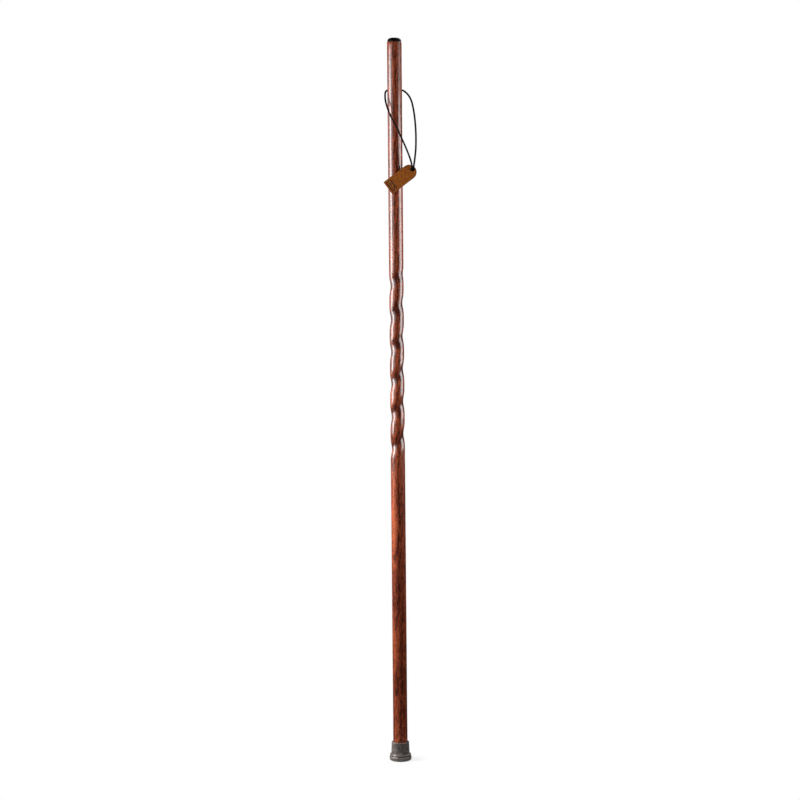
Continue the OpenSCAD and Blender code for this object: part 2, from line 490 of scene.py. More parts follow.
        # Darker in the carved groove and the bore: soaked-in stain, and painted shade there
        groove_stain_and_shade = add(tree, "MapRange", {"Value": inside, "From Min": self.deep_radius, "To Max": 0.0,
                                        "From Max": self.skin_radius, "To Min": -self.deep_stain_and_shade})[0]
        soaked = add(tree, "Math", {0: lit, 1: groove_stain_and_shade}, operation="ADD")[0]
        tone = add(tree, "MapRange", {"Value": soaked, "From Min": self.tone_from})[0]

        stain = add(tree, "Mix", {0: tone, MIX_A: linear(self.dark_colour),
                                  MIX_B: linear(self.light_colour)}, data_type="RGBA")[MIX_OUT]
        inked = add(tree, "Math", {0: pores, 1: self.pore_ink}, operation="MULTIPLY")[0]
        colour = add(tree, "Mix", {0: inked, MIX_A: stain, MIX_B: linear(self.pore_colour)},
                     data_type="RGBA")[MIX_OUT]
        rough = add(tree, "MapRange", {"Value": pores, "To Min": self.roughness,
                                       "To Max": self.pore_roughness})[0]
        hollow = add(tree, "Bump", {"Height": pores, "Strength": self.pore_strength,
                                    "Distance": self.pore_depth}, invert=True)[0]
        shader = add(tree, "BsdfPrincipled", {
            "Base Color": colour, "Roughness": rough, "Normal": hollow, "Specular IOR Level": self.specular,
            "Coat Weight": 1.0, "Coat Roughness": self.coat_roughness, "Coat IOR": self.coat_ior})[0]
        add(tree, "OutputMaterial", {"Surface": shader})
        return material


@dataclass(frozen=True)
class BlackAbs:
    """Black ABS, injection moulded with a soft gloss: near black, with a fine spark texture on its skin."""

    name: str = "black_abs_moulded"
    colour: str = "#0B0908"
    scuff_colour: str = "#171312"
    # A real spark texture is about 0.1 mm wide; it is drawn coarser so that it shows
    spark: float = 0.5 * MM
    spark_depth: float = 0.04 * MM
    spark_strength: float = 0.15
    # Patches that handling dulls, and the levels of noise at which they start and are full
    scuff: float = 6 * MM
    scuff_from: float = 0.45
    scuff_to: float = 0.7
    roughness: float = 0.4
    scuff_roughness: float = 0.55
    ior: float = 1.53
    specular: float = 0.05

    def material(self) -> Material:
        """Builds the plastic: a fine skin, and dull patches from handling.

        Returns:
            The material.
        """
        material, tree = blank_material(self.name)
        place = add(tree, "TexCoord")["Object"]
        skin = add(tree, "TexNoise", {"Vector": place, "Scale": 1 / self.spark, "Detail": 1.0})[0]
        patches = add(tree, "TexNoise", {"Vector": place, "Scale": 1 / self.scuff, "Detail": 4.0})[0]
        worn = add(tree, "MapRange", {"Value": patches, "From Min": self.scuff_from,
                                      "From Max": self.scuff_to})[0]
        colour = add(tree, "Mix", {0: worn, MIX_A: linear(self.colour), MIX_B: linear(self.scuff_colour)},
                     data_type="RGBA")[MIX_OUT]
        rough = add(tree, "MapRange", {"Value": worn, "To Min": self.roughness,
                                       "To Max": self.scuff_roughness})[0]
        bump = add(tree, "Bump", {"Height": skin, "Strength": self.spark_strength,
                                  "Distance": self.spark_depth})[0]
        shader = add(tree, "BsdfPrincipled", {
            "Base Color": colour, "Roughness": rough, "Normal": bump, "IOR": self.ior,
            "Specular IOR Level": self.specular})[0]
        add(tree, "OutputMaterial", {"Surface": shader})
        return material


@dataclass(frozen=True)
class GreyRubber:
    """Filled natural rubber, compression moulded: a dull warm grey with a bloom, dusty low down."""

    name: str = "grey_rubber_moulded"
    colour: str = "#3E3735"
    bloom_colour: str = "#5E5653"
    dust_colour: str = "#7A726B"
    # Real grit is about 0.2 mm wide; it is drawn coarser so that it shows
    grit: float = 0.7 * MM
    grit_depth: float = 0.06 * MM
    grit_strength: float = 0.35
    # Patches of bloom, and the levels of noise at which they start and are full
    bloom: float = 9 * MM
    bloom_from: float = 0.4
    bloom_to: float = 0.7
    # Dust fades out over this height. At the ground it covers this share, between these levels of grit
    dust_height: float = 9 * MM
    dust_share: float = 0.55
    dust_from: float = 0.35
    dust_to: float = 0.65
    roughness: float = 0.36
    grit_roughness: float = 0.56
    ior: float = 1.52
    specular: float = 0.5

    def material(self) -> Material:
        """Builds the rubber: bloom in soft patches, grit in its skin, dust near the ground.

        Returns:
            The material.
        """
        material, tree = blank_material(self.name)
        place = add(tree, "TexCoord")["Object"]
        patches = add(tree, "TexNoise", {"Vector": place, "Scale": 1 / self.bloom, "Detail": 4.0})[0]
        hazy = add(tree, "MapRange", {"Value": patches, "From Min": self.bloom_from,
                                      "From Max": self.bloom_to})[0]
        base = add(tree, "Mix", {0: hazy, MIX_A: linear(self.colour), MIX_B: linear(self.bloom_colour)},
                   data_type="RGBA")[MIX_OUT]
        height = add(tree, "SeparateXYZ", {0: place})["Z"]
        low = add(tree, "MapRange", {"Value": height, "From Max": self.dust_height,
                                     "To Min": self.dust_share, "To Max": 0.0})[0]
        grit = add(tree, "TexNoise", {"Vector": place, "Scale": 1 / self.grit, "Detail": 3.0})[0]
        speck = add(tree, "MapRange", {"Value": grit, "From Min": self.dust_from,
                                       "From Max": self.dust_to})[0]
        dust = add(tree, "Math", {0: low, 1: speck}, operation="MULTIPLY")[0]
        colour = add(tree, "Mix", {0: dust, MIX_A: base, MIX_B: linear(self.dust_colour)},
                     data_type="RGBA")[MIX_OUT]
        rough = add(tree, "MapRange", {"Value": grit, "To Min": self.roughness,
                                       "To Max": self.grit_roughness})[0]
        bump = add(tree, "Bump", {"Height": grit, "Strength": self.grit_strength,
                                  "Distance": self.grit_depth})[0]
        shader = add(tree, "BsdfPrincipled", {
            "Base Color": colour, "Roughness": rough, "Normal": bump, "IOR": self.ior,
            "Specular IOR Level": self.specular})[0]
        add(tree, "OutputMaterial", {"Surface": shader})
        return material


@dataclass(frozen=True)
class PressedSteel:
    """Mild steel washer, blanked from rolled sheet: grey metal with the streaks of the rolls."""

    name: str = "mild_steel_pressed"
    colour: str = "#B4B3AF"
    dull_colour: str = "#8C8A86"
    # The streaks run along X
    streak_size: Point = (14 * MM, 0.4 * MM, 0.4 * MM)
    roughness: float = 0.24
    dull_roughness: float = 0.44

    def material(self) -> Material:
        """Builds the metal with its rolling streaks.

        Returns:
            The material.
        """
        material, tree = blank_material(self.name)
        place = add(tree, "TexCoord")["Object"]
        along = add(tree, "Mapping", {"Vector": place, "Scale": repeats(self.streak_size)})[0]
        streak = add(tree, "TexNoise", {"Vector": along, "Scale": 1.0, "Detail": 2.0})[0]
        colour = add(tree, "Mix", {0: streak, MIX_A: linear(self.dull_colour), MIX_B: linear(self.colour)},
                     data_type="RGBA")[MIX_OUT]
        rough = add(tree, "MapRange", {"Value": streak, "To Min": self.dull_roughness,
                                       "To Max": self.roughness})[0]
        shader = add(tree, "BsdfPrincipled", {"Base Color": colour, "Roughness": rough, "Metallic": 1.0})[0]
        add(tree, "OutputMaterial", {"Surface": shader})
        return material


@dataclass(frozen=True)
class WaxedBraid:
    """Black polyester cord, braided and waxed: near black, a little paler on the crowns of its plaits, with
    painted shade in the valleys between them.
    """

    name: str = "black_braided_cord"
    crown_colour: str = "#0D0B0B"
    valley_shade_colour: str = "#030303"
    # Real fibres are 0.02 mm thick; their fuzz is drawn coarser so that it shows close up
    fibre: float = 0.25 * MM
    fibre_depth: float = 0.05 * MM
    fibre_strength: float = 0.3
    roughness: float = 0.38
    fuzz_roughness: float = 0.65
    ior: float = 1.5
    specular: float = 0.04

    def material(self) -> Material:
        """Builds the cord's finish on the braid attribute of its own mesh.

        Returns:
            The material.
        """
        material, tree = blank_material(self.name)
        place = add(tree, "TexCoord")["Object"]
        braid = add(tree, "Attribute", attribute_name=BRAID)["Fac"]
        fuzz = add(tree, "TexNoise", {"Vector": place, "Scale": 1 / self.fibre, "Detail": 2.0})[0]
        # Painted shade: the valleys between the plaits are darker, times a random fuzz of the fibres
        level = add(tree, "Math", {0: braid, 1: fuzz}, operation="MULTIPLY")[0]
        colour = add(tree, "Mix", {0: level, MIX_A: linear(self.valley_shade_colour),
                                   MIX_B: linear(self.crown_colour)}, data_type="RGBA")[MIX_OUT]
        rough = add(tree, "MapRange", {"Value": fuzz, "To Min": self.roughness,
                                       "To Max": self.fuzz_roughness})[0]
        bump = add(tree, "Bump", {"Height": fuzz, "Strength": self.fibre_strength,
                                  "Distance": self.fibre_depth})[0]
        shader = add(tree, "BsdfPrincipled", {
            "Base Color": colour, "Roughness": rough, "Normal": bump, "IOR": self.ior,
            "Specular IOR Level": self.specular})[0]
        add(tree, "OutputMaterial", {"Surface": shader})
        return material


@dataclass(frozen=True)
class TannedLeather:
    """Vegetable-tanned cowhide: a pebbled grain with painted shade in its creases and a cloudy, hand-rubbed
    colour.
    """

    name: str = "tan_leather_grain"
    colour: str = "#A25E11"
    dark_colour: str = "#632B09"
    pebble: float = 0.9 * MM
    cloud: float = 3.4 * MM
    relief: float = 0.08 * MM
    roughness: float = 0.5
    # The share of a pebble that its sloped edge takes up, and how much tone is left in the creases, which
    # are darkened as painted shade
    slope_share: float = 0.25
    crease_shade_tone: float = 0.45
    relief_strength: float = 0.5
    # Levels of noise at which the rubbed patches start and are full
    cloud_from: float = 0.33
    cloud_to: float = 0.62
    # How much rougher than its mean the leather is in dark patches, and how much smoother in rubbed ones
    dark_rough: float = 0.12
    rubbed_smooth: float = 0.06
    ior: float = 1.48
    specular: float = 0.25

    def material(self) -> Material:
        """Builds the leather: pebbles from cells, and a cloudy tone.

        Returns:
            The material.
        """
        material, tree = blank_material(self.name)
        place = add(tree, "TexCoord")["Object"]
        cells = add(tree, "TexVoronoi", {"Vector": place, "Scale": 1 / self.pebble},
                    feature="DISTANCE_TO_EDGE")["Distance"]
        crown = add(tree, "MapRange", {"Value": cells, "From Max": self.slope_share})[0]
        clouds = add(tree, "TexNoise", {"Vector": place, "Scale": 1 / self.cloud, "Detail": 5.0})[0]
        rubbed = add(tree, "MapRange", {"Value": clouds, "From Min": self.cloud_from,
                                        "From Max": self.cloud_to})[0]
        # Painted shade: the creases between the pebbles are darker
        crease_shade = add(tree, "MapRange", {"Value": crown, "To Min": self.crease_shade_tone})[0]
        tone = add(tree, "Math", {0: rubbed, 1: crease_shade}, operation="MULTIPLY")[0]
        colour = add(tree, "Mix", {0: tone, MIX_A: linear(self.dark_colour), MIX_B: linear(self.colour)},
                     data_type="RGBA")[MIX_OUT]
        rough = add(tree, "MapRange", {"Value": rubbed, "To Min": self.roughness + self.dark_rough,
                                       "To Max": self.roughness - self.rubbed_smooth})[0]
        bump = add(tree, "Bump", {"Height": crown, "Strength": self.relief_strength,
                                  "Distance": self.relief})[0]
        shader = add(tree, "BsdfPrincipled", {
            "Base Color": colour, "Roughness": rough, "Normal": bump, "IOR": self.ior,
            "Specular IOR Level": self.specular})[0]
        add(tree, "OutputMaterial", {"Surface": shader})
        return material


@dataclass(frozen=True)
class ThinPaint:
    """Floor of the studio, thinly painted.

    The camera sees the white surroundings through it, and near the foot a coat of paint that takes the
    shadow. All else sees a plain grey floor.
    """

    name: str = "white_floor"
    colour: str = "#969696"
    # The coat's grey, no coat, and the share of the white behind it that the coat takes the place of
    coat_colour: str = "#535353"
    bare_colour: str = "#000000"
    coat_share: float = 0.2
    # Distances from the staff's axis at which the coat starts to thin out and ends
    coat_from: float = 22 * MM
    coat_to: float = 60 * MM

    def material(self) -> Material:
        """Builds the floor's finish: paint that scatters light, over clear glass.

        Returns:
            The material.
        """
        material, tree = blank_material(self.name)
        place = add(tree, "TexCoord")["Object"]
        out = add(tree, "VectorMath", {0: place}, operation="LENGTH")["Value"]
        near = add(tree, "MapRange", {"Value": out, "From Min": self.coat_from, "From Max": self.coat_to,
                                      "To Min": 1.0, "To Max": 0.0}, interpolation_type="SMOOTHSTEP")[0]
        coat = add(tree, "Mix", {0: near, MIX_A: linear(self.bare_colour), MIX_B: linear(self.coat_colour)},
                   data_type="RGBA")[MIX_OUT]
        grey = add(tree, "Mix", {0: add(tree, "LightPath")["Is Camera Ray"], MIX_A: linear(self.colour),
                                 MIX_B: coat}, data_type="RGBA")[MIX_OUT]
        clear = add(tree, "MapRange", {"Value": near, "To Min": 1.0, "To Max": 1.0 - self.coat_share})[0]
        paint = add(tree, "BsdfDiffuse", {"Color": grey})[0]
        glass = add(tree, "BsdfTransparent", {"Color": clear})[0]
        both = add(tree, "AddShader", {0: paint, 1: glass})[0]
        add(tree, "OutputMaterial", {"Surface": both})
        return material


@dataclass
class Staff:
    """The turned shaft with its carved twist, and the cap on it. Sizes in metres, angles in degrees."""

    radius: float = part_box("shaft")[1].x
    foot_z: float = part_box("shaft")[0].z
    top_z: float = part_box("shaft")[1].z
    hole_z: float = joint_place("lanyard_swing").z
    sides: int = 96
    smooth_angle: float = 35.0
    chamfer: float = 0.8 * MM
    chamfer_steps: int = 3
    twist_low: float = 586 * MM
    twist_high: float = 964 * MM
    twist_pitch: float = 63 * MM
    twist_depth: float = 2.8 * MM
    twist_fade: float = 24 * MM
    twist_start: float = 43.0
    ring_gap: float = 6 * MM
    carved_gap: float = 1.75 * MM
    # Sanding leaves shallow waves, which die out near what the shaft fits into
    wave_depth: float = 0.16 * MM
    wave_length: float = 24 * MM
    wave_clear: float = 40 * MM
    hole_radius: float = 2 * MM
    hole_ease: float = 2 * MM
    hole_room: float = 8 * MM
    hole_sides: int = 32
    cut_room: float = 1 * MM
    socket_radius: float = 5.1 * MM
    socket_depth: float = 15 * MM
    cap_radius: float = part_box("top_cap")[1].x
    cap_top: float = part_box("top_cap")[1].z
    cap_smooth_angle: float = 40.0
    spigot_low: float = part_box("top_cap")[0].z
    spigot_radius: float = 5 * MM
    cap_edge: float = 0.4 * MM
    cap_edge_steps: int = 4
    # The round of the dome ends at this angle, and a flatter crown goes on over it, which is nearly level
    # within this share of the cap's radius
    cap_round: float = 6.2 * MM
    cap_round_end: float = 86.0
    cap_round_steps: int = 16
    cap_crown: float = 0.3 * MM
    cap_crown_share: float = 0.25

    def build(self) -> None:
        """Builds and dresses the shaft and the cap."""
        shaft = self.build_shaft()
        dress(shaft, StainedOak().material())
        hand_over(shaft, "staff", "stained_wood", "shaft")
        cap = self.build_cap()
        dress(cap, BlackAbs().material())
        hand_over(cap, "staff", "black_cap", "top_cap")

    def build_shaft(self) -> Object:
        """Models the shaft from one circle: drawn up, ringed, chamfered, socketed, carved and drilled.

        Returns:
            The shaft.
        """
        shaft = start_from(bpy.ops.mesh.primitive_circle_add, "shaft_wood", vertices=self.sides,
                           radius=self.radius, fill_type="NGON", location=(0, 0, self.foot_z))
        heights = [self.foot_z, self.twist_low, self.twist_high, self.hole_z - self.hole_room,
                   self.hole_z + self.hole_room, self.top_z]
        gaps = [self.ring_gap, self.carved_gap, self.ring_gap, self.hole_room, self.ring_gap]
        with editing(shaft):
            for low, high in zip(heights, heights[1:]):
                bpy.ops.mesh.extrude_region_move(TRANSFORM_OT_translate={"value": (0, 0, high - low)})
            for low, high, gap in zip(heights, heights[1:], gaps):
                select(Pick.EDGES, lambda place, way: abs(way.z) > UPRIGHT and low < place.z < high)
                bpy.ops.mesh.subdivide_edgering(number_cuts=round((high - low) / gap) - 1)
            ends = (self.foot_z, self.top_z)
            select(Pick.EDGES, lambda place, way: min(abs(place.z - z) for z in ends) < MERGE)
            bpy.ops.mesh.bevel(offset=self.chamfer, segments=self.chamfer_steps, affect="EDGES")
            select(Pick.FACES, lambda place, way: way.z > UPRIGHT and place.z > self.top_z - MERGE)
            bpy.ops.mesh.inset(thickness=self.radius - self.chamfer - self.socket_radius)
            bpy.ops.mesh.extrude_region_move(TRANSFORM_OT_translate={"value": (0, 0, -self.socket_depth)})
            face_outwards()
        modify(shaft, "DISPLACE", strength=-self.twist_depth, mid_level=0.0,
               vertex_group=weigh(shaft, "groove", self.groove_share))
        waves = bpy.data.textures.new("sanding_waves", "CLOUDS")
        waves.noise_scale = self.wave_length
        modify(shaft, "DISPLACE", strength=self.wave_depth, mid_level=1.0, texture=waves,
               texture_coords="LOCAL", vertex_group=weigh(shaft, "bare", self.bare_share))
        cut(shaft, self.hole_cutter())
        smooth(shaft, self.smooth_angle)
        return shaft

    def groove_share(self, place: Vector) -> float:
        """Finds how deep the carved groove is.

        Args:
            place: A place on the shaft.
        Returns:
            The share of its full depth that the groove has there.
        """
        fade = smooth_step(min(place.z - self.twist_low, self.twist_high - place.z) / self.twist_fade)
        turn = math.radians(self.twist_start) + math.tau * (place.z - self.twist_low) / self.twist_pitch
        across = (1 + math.cos(math.atan2(place.y, place.x) - turn)) / 2
        return fade * across * across

    def bare_share(self, place: Vector) -> float:
        """Finds how deep the sanding waves are.

        Args:
            place: A place on the shaft.
        Returns:
            The share of their full depth that they have there: none near the tip, the cap or the cord hole.
        """
        if math.hypot(place.x, place.y) < self.radius / 2:
            return 0.0
        clear = min(place.z - self.foot_z - self.wave_clear, self.top_z - place.z,
                    abs(place.z - self.hole_z))
        return smooth_step((clear - self.hole_room) / self.wave_clear)

    def hole_cutter(self) -> Object:
        """Models what the cord hole takes out of the shaft.

        Returns:
            A bore along X with rounded mouths.
        """
        mouth = self.radius - self.hole_ease
        wide = self.hole_radius + self.hole_ease
        reach = self.radius + self.cut_room
        upper = [(self.hole_radius, mouth), *arc((wide, mouth), self.hole_ease, 180, 90)[1:], (wide, reach)]
        lower = [(r, -z) for r, z in reversed(upper)]
        cutter = turned("hole_cutter", [(0, -reach), *lower, *upper, (0, reach)], self.hole_sides)
        place_at(cutter, Matrix.Translation((0, 0, self.hole_z)) @ Matrix.Rotation(math.pi / 2, 4, "Y"))
        return cutter

    def build_cap(self) -> Object:
        """Models the cap.

        Returns:
            A domed button with a spigot below it.
        """
        round_z = self.cap_top - self.cap_crown - self.cap_round
        seat = arc((self.cap_radius - self.cap_edge, self.top_z + self.cap_edge), self.cap_edge, -90, 0,
                   self.cap_edge_steps)
        dome = arc((self.cap_radius - self.cap_round, round_z), self.cap_round, 0, self.cap_round_end,
                   self.cap_round_steps)
        share = self.cap_crown_share
        crown = (share * self.cap_radius, self.cap_top - share * self.cap_crown)
        cap = turned("cap_dome", [
            (0, self.spigot_low), (self.spigot_radius - self.cap_edge, self.spigot_low),
            (self.spigot_radius, self.spigot_low + self.cap_edge), (self.spigot_radius, self.top_z),
            *seat, *dome, crown, (0, self.cap_top)], self.sides)
        smooth(cap, self.cap_smooth_angle)
        return cap


@dataclass
class Tip:
    """The rubber ferrule and the washer in its socket. Sizes in metres, angles in degrees."""

    foot_radius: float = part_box("rubber_tip")[1].x
    height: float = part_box("rubber_tip")[1].z
    sides: int = 96
    smooth_angle: float = 38.0
    foot_round: float = 2.2 * MM
    foot_top_round: float = 2.6 * MM
    foot_top_end: float = 60.0
    crease_z: float = 9 * MM
    crease_depth: float = 2.4 * MM
    crease_lip: float = 1.4 * MM
    crease_lip_start: float = -80.0
    crease_lip_steps: int = 4
    shoulder_radius: float = 20.5 * MM
    shoulder_top: float = 15.5 * MM
    shoulder_end: float = 75.0
    collar_low: float = 17.9 * MM
    collar_top: float = 17 * MM
    rim_round: float = 1.2 * MM
    rim_lead: float = 0.7 * MM
    socket_radius: float = 14.05 * MM
    sole: float = 7.5 * MM
    tread_radii: tuple[float, ...] = (5 * MM, 10 * MM, 15 * MM)
    tread_width: float = 1.6 * MM
    tread_depth: float = 1.2 * MM
    tread_draft: float = 0.2 * MM
    # A moulding mark on the front of the collar
    dimple_radius: float = 1.5 * MM
    dimple_depth: float = 2.2 * MM
    dimple_z: float = 27 * MM
    dimple_turn: float = -12.0
    dimple_sides: int = 48
    dimple_rings: int = 24

    def build(self) -> None:
        """Builds and dresses the rubber, and dresses the washer."""
        rubber = self.build_rubber()
        dress(rubber, GreyRubber().material())
        hand_over(rubber, "tip", "grey_rubber", "rubber_tip")
        dress(frame["nodes"]["tip_washer"], PressedSteel().material())
        log.info("tip_washer: dressed as it is")

    def build_rubber(self) -> Object:
        """Models the ferrule as one turned piece, from the tread round to the floor of its socket.

        Returns:
            The ferrule.
        """
        half = self.tread_width / 2
        tread = []
        for radius in self.tread_radii:
            tread += [(radius - half, 0), (radius - half + self.tread_draft, self.tread_depth),
                      (radius + half - self.tread_draft, self.tread_depth), (radius + half, 0)]
        foot = arc((self.foot_radius - self.foot_round, self.foot_round), self.foot_round, -90, 0)
        roll = arc((self.foot_radius - self.foot_top_round, self.crease_z - self.foot_top_round),
                   self.foot_top_round, 0, self.foot_top_end)
        lip_z = self.crease_z + self.crease_lip
        lip_round = self.crease_lip / 2
        lip = [(self.shoulder_radius - self.crease_depth, self.crease_z),
               *arc((self.shoulder_radius - lip_round, lip_z), lip_round, self.crease_lip_start, 0,
                    self.crease_lip_steps)]
        bulge = arc((self.collar_low, lip_z), self.shoulder_radius - self.collar_low, 0, self.shoulder_end)
        rim = arc((self.collar_top - self.rim_round, self.height - self.rim_round), self.rim_round, 0, 90)
        socket = [(self.socket_radius + self.rim_lead, self.height),
                  (self.socket_radius, self.height - self.rim_lead), (self.socket_radius, self.sole)]
        rubber = turned("tip_rubber", [
            (0, 0), *tread, *foot, *roll, *lip, *bulge[1:], (self.collar_low, self.shoulder_top),
            *rim, *socket, (0, self.sole)], self.sides)
        cut(rubber, self.dimple_cutter())
        smooth(rubber, self.smooth_angle)
        return rubber

    def dimple_cutter(self) -> Object:
        """Models what the moulding mark takes out of the collar.

        Returns:
            A ball, of which a shallow cap reaches into the rubber.
        """
        turn = math.radians(self.dimple_turn)
        climb = (self.dimple_z - self.shoulder_top) / (self.height - self.shoulder_top)
        collar = self.collar_low + (self.collar_top - self.collar_low) * climb
        ball = (self.dimple_radius ** 2 + self.dimple_depth ** 2) / (2 * self.dimple_depth)
        out = collar - self.dimple_depth + ball
        place = (out * math.sin(turn), -out * math.cos(turn), self.dimple_z)
        return start_from(bpy.ops.mesh.primitive_uv_sphere_add, "dimple_cutter", segments=self.dimple_sides,
                          ring_count=self.dimple_rings, radius=ball, location=place)


@dataclass
class Lanyard:
    """The cord through the shaft, its two legs and their stopper knot. Sizes in metres, angles in degrees.

    The legs' routes are given points in millimetres: X and Y from the shaft's axis, Z from the hole.
    """

    hole_z: float = joint_place("lanyard_swing").z
    tag_x: float = joint_place("tag_swing").x
    tag_z: float = joint_place("tag_swing").z
    mouth_x: float = 12 * MM
    diameter: float = 3.6 * MM
    sides: int = 32
    smooth_angle: float = 60.0
    # Rings of the cord are this far apart, on a line drawn with this many steps from point to point
    ring_gap: float = 0.32 * MM
    line_steps: int = 40
    # Any direction that no stretch of the cord sets out in
    off_line: Point = (0.3, 0.5, 0.8)
    plaits: int = 3
    plait_length: float = 3.4 * MM
    plait_depth: float = 0.13 * MM
    # The knot's cord goes round twice while it weaves through three lobes
    knot_front: float = -14.2 * MM
    knot_wide: float = 2.4 * MM
    knot_thick: float = 1.5 * MM
    knot_rounds: int = 2
    knot_lobes: int = 3
    knot_steps: int = 120
    # A cut end leaves the knot by shares of the spread along X, and of the knot's thickness along Y and Z
    tail_spread: float = 1.6 * MM
    tail_shares: tuple[Point, ...] = ((0.3, 0.4, 0.0), (0.6, 1.8, -0.8), (1.0, 2.6, -2.2), (1.3, 2.8, -4.2))
    left_route: tuple[Point, ...] = (
        (-12, 0, 0), (-15, -0.3, -0.7), (-17, -1.1, -2.6), (-18.1, -2.5, -6), (-18.4, -4.8, -11),
        (-18.1, -7.8, -16.8), (-17.1, -11.2, -23.2), (-15.4, -14.6, -30.2), (-13.1, -17.8, -37.4),
        (-10.3, -20.5, -44.8), (-7, -22.8, -52.4), (-3, -24.5, -60.4), (1.2, -25.5, -68.4),
        (5.2, -26, -76.4), (8.8, -26.2, -84.4), (12.4, -26.2, -92.4), (16, -26, -100.4),
        (19.5, -25.7, -108.4), (22.8, -25.3, -116.4), (25.9, -24.8, -124.4), (28.6, -24.3, -132.2),
        (30.6, -23.8, -139.2), (31.4, -23.4, -145), (31.3, -22.6, -148), (31.3, -20.4, -150.2),
        (31.3, -17.4, -151), (31.3, -14.2, -151))
    right_route: tuple[Point, ...] = (
        (12, 0, 0), (15.3, -0.1, -0.6), (18.5, -0.3, -2.3), (21.6, -0.7, -4.8), (24.7, -1.4, -8.1),
        (27.6, -2.4, -12.2), (30.2, -3.7, -17.2), (32.4, -5.3, -23.2), (34, -7.1, -30), (35.4, -9, -37.4),
        (36.6, -11, -45.2), (37.6, -13, -53.4), (38.4, -14.9, -61.8), (39, -16.6, -70.4), (39.4, -18, -79),
        (39.6, -19.2, -87.6), (39.6, -20.2, -96.2), (39.4, -21.2, -104.8), (39, -22.1, -113.4),
        (38.2, -22.8, -121.8), (37.2, -23.3, -130), (36.1, -23.6, -138), (35.1, -23.4, -145),
        (34.7, -22.6, -148), (34.7, -20.4, -150.2), (34.7, -17.4, -151), (34.7, -14.2, -151))
    left_length: float = 176 * MM
    right_length: float = 170 * MM

    def build(self, tag: Object) -> None:
        """Builds and dresses the cord's pieces.

        Args:
            tag: The leather tag; not used.
        """
        finish = WaxedBraid().material()
        knot = self.build_knot()
        dress(knot, finish)
        hand_over(knot, "lanyard", "black_cord", "cord_knot")
        through = self.braided("cord_through", self.run([
            (-self.mouth_x, 0, self.hole_z), (0, 0, self.hole_z), (self.mouth_x, 0, self.hole_z)]))
        dress(through, finish)
        hand_over(through, "lanyard", "black_cord", "cord_in_hole")
        legs = [(Side.LEFT, self.left_route, self.left_length, [knot, tag]),
                (Side.RIGHT, self.right_route, self.right_length, [])]
        for side, route, length, pieces in legs:
            line = self.run([(x * MM, y * MM, z * MM + self.hole_z) for x, y, z in route])
            leg = self.braided(f"cord_{side.name.lower()}", line)
            dress(leg, finish)
            hand_over(leg, "lanyard", "black_cord", f"cord_{side.name.lower()}_leg")

    def run(self, points: list[Point]) -> np.ndarray:
        """Draws a smooth line through points.

        Args:
            points: The places that the line passes, in metres.
        Returns:
            Places along the line, one ring gap apart.
        """
        known = np.array(points)
        ends = np.vstack([2 * known[0] - known[1], known, 2 * known[-1] - known[-2]])
        t = np.linspace(0, 1, self.line_steps, endpoint=False)[:, None]
        spans = []
        for a, b, c, d in zip(ends, ends[1:], ends[2:], ends[3:]):
            bend = 2 * a - 5 * b + 4 * c - d + t * (3 * (b - c) + d - a)
            spans.append(b + 0.5 * t * (c - a + t * bend))
        fine = np.vstack([*spans, known[-1:]])
        far = np.concatenate([[0], np.cumsum(np.linalg.norm(np.diff(fine, axis=0), axis=1))])
        marks = np.linspace(0, far[-1], max(2, round(far[-1] / self.ring_gap)) + 1)
        return np.stack([np.interp(marks, far, fine[:, i]) for i in range(3)], axis=1)

    def braided(self, name: str, line: np.ndarray) -> Object:
        """Sweeps the braided cord along a line, with its plaits in relief.

        Args:
            name: Name of the new object.
            line: Places along the cord's middle.
        Returns:
            The closed cord, with the height of its plaits as an attribute.
        """
        heads = np.gradient(line, axis=0)
        heads /= np.linalg.norm(heads, axis=1)[:, None]
        side = np.cross(heads[0], self.off_line)
        angles = math.tau * np.arange(self.sides) / self.sides
        points, heights = [], []
        for i, (place, head) in enumerate(zip(line, heads)):
            side = side - head * (side @ head)
            side /= np.linalg.norm(side)
            along = math.tau * i * self.ring_gap / self.plait_length
            height = 0.5 + 0.5 * np.cos(self.plaits * angles + along) * np.cos(self.plaits * angles - along)
            radius = self.diameter / 2 - self.plait_depth * (1 - height)
            ring = np.outer(np.cos(angles), side) + np.outer(np.sin(angles), np.cross(head, side))
            points.append(place + radius[:, None] * ring)
            heights.append(height)
        count, last = self.sides, (len(line) - 1) * self.sides
        faces = [(i + j, i + (j + 1) % count, i + count + (j + 1) % count, i + count + j)
                 for i in range(0, last, count) for j in range(count)]
        faces += [tuple(reversed(range(count))), tuple(range(last, last + count))]
        mesh = bpy.data.meshes.new(name)
        mesh.from_pydata(np.vstack(points).tolist(), [], faces)
        mesh.attributes.new(BRAID, "FLOAT", "POINT").data.foreach_set("value", np.concatenate(heights))
        cord = bpy.data.objects.new(name, mesh)
        bpy.context.scene.collection.objects.link(cord)
        smooth(cord, self.smooth_angle)
        return cord

    def build_knot(self) -> Object:
        """Models the stopper knot.

        Returns:
            A cord drawn up in a three-lobed knot, with its two cut ends below.
        """
        middle = Vector((self.tag_x, self.knot_front + self.knot_thick + self.diameter / 2, self.tag_z))
        lobes = []
        for i in range(self.knot_steps + 1):
            turn = math.tau * i / self.knot_steps
            weave, circle = self.knot_lobes * turn, self.knot_rounds * turn
            out = self.knot_wide + self.knot_thick * math.cos(weave)
            lobes.append(tuple(middle + Vector((out * math.cos(circle), self.knot_thick * math.sin(weave),
                                                out * math.sin(circle)))))
        pieces = [self.braided("knot", self.run(lobes))]
        for side in Side:
            tail = [tuple(middle + Vector((side.value * x * self.tail_spread, y * self.knot_thick,
                                           z * self.knot_thick))) for x, y, z in self.tail_shares]
            pieces.append(self.braided("knot_tail", self.run(tail)))
        return joined(pieces)


